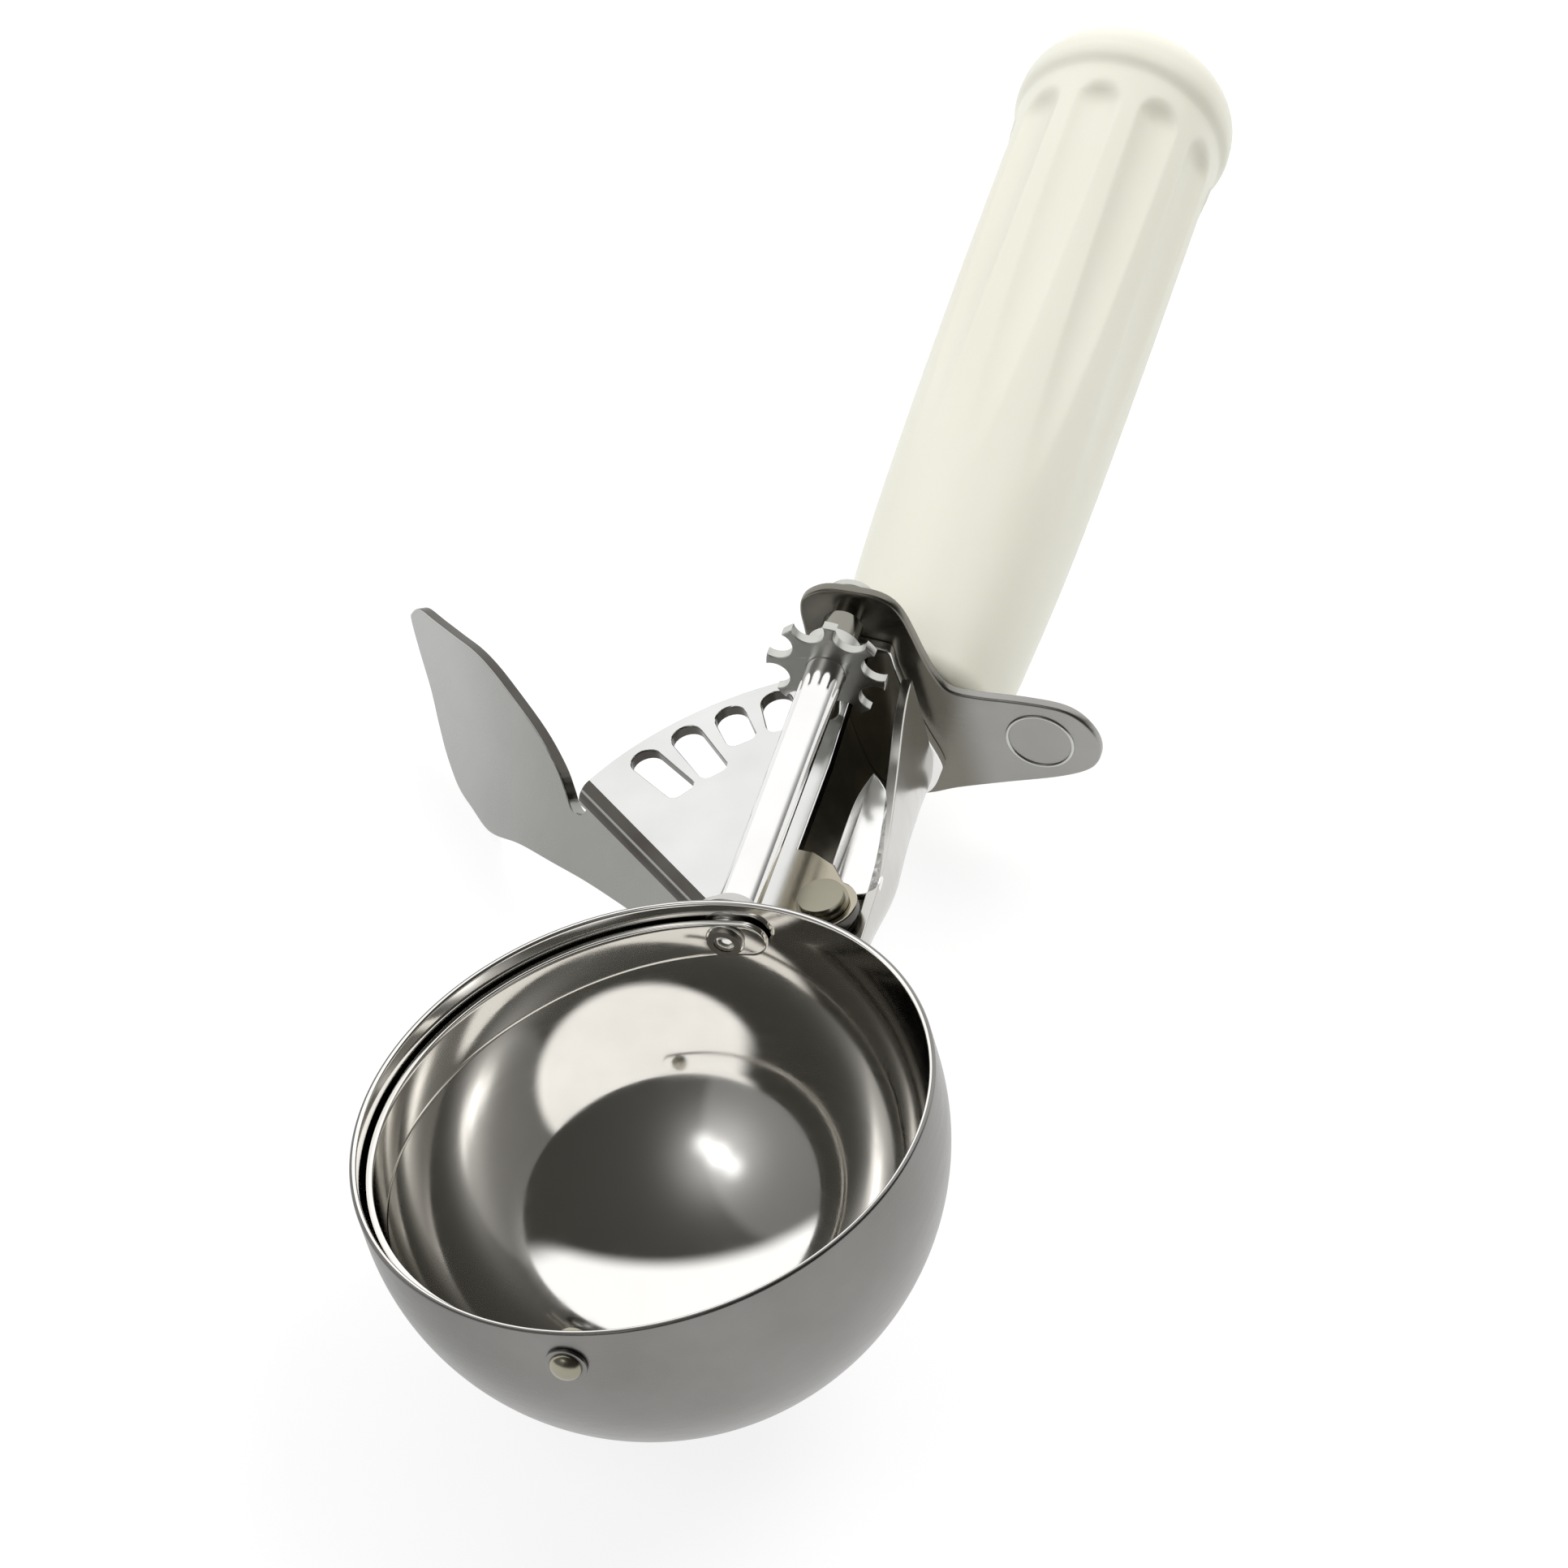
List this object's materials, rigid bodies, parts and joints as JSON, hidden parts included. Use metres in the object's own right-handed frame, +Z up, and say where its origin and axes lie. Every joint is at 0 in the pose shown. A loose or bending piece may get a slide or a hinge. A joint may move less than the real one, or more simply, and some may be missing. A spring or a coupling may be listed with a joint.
{
  "type": "lever ice cream scoop",
  "caption": "Ice cream scoop with a hemispherical steel bowl, a sweeping blade driven by a slotted thumb lever and a toothed pinion, a finger rest and a fluted ivory plastic handle.",
  "frame": {"origin": "centre of the footprint on the table the scoop lies on", "axes": "+X from the bowl toward the end of the handle, +Y toward the thumb lever's side, +Z up from the table"},
  "size_m": [0.2398, 0.0887, 0.0472],
  "materials": {
    "satin_steel": "satin brushed stainless steel",
    "polished_steel": "polished stainless steel",
    "steel_fittings": "plain turned stainless steel",
    "spring_steel": "dull drawn spring steel",
    "ivory_plastic": "smooth moulded ivory plastic, soft gloss"
  },
  "bodies": {
    "frame": {"bowl": "satin_steel", "bowl_bracket": "satin_steel", "neck_channel": "polished_steel", "end_flange": "satin_steel", "front_pivot_pin": "steel_fittings", "front_washer": "steel_fittings", "bowl_bushing": "steel_fittings", "lever_pivot_pin": "steel_fittings", "lever_washer": "steel_fittings", "spring_anchor": "steel_fittings", "return_spring": "spring_steel", "handle_grip": "ivory_plastic", "handle_tang": "steel_fittings", "tang_lock_pin": "steel_fittings"},
    "blade": {"blade_shaft": "polished_steel", "scraper_blade": "polished_steel", "blade_rear_hub": "steel_fittings", "shaft_end_washer": "steel_fittings", "pinion": "steel_fittings", "pinion_collar": "steel_fittings"},
    "lever": {"thumb_lever": "polished_steel", "lever_bushing": "spring_steel"}
  },
  "joints": [
    {"name": "thumb_lever", "type": "hinge", "parent": "frame", "child": "lever", "pos_m": [-0.04061, -0.01921, 0.02801], "axis": [-0.0097, -0.2538, -0.9672], "range_deg": [0, 33.5], "stiffness_Nm_per_rad": 0.1, "springref_deg": -40.11, "deforming": ["return_spring"]},
    {"name": "blade_turn", "type": "hinge", "parent": "frame", "child": "blade", "pos_m": [-0.08456, -0.01086, 0.0335], "axis": [-0.9999, 0, 0.01], "range_deg": [0, 167.5]}
  ],
  "couplings": [
    {"joint": "blade_turn", "follows": "thumb_lever", "ratio": 5}
  ]
}
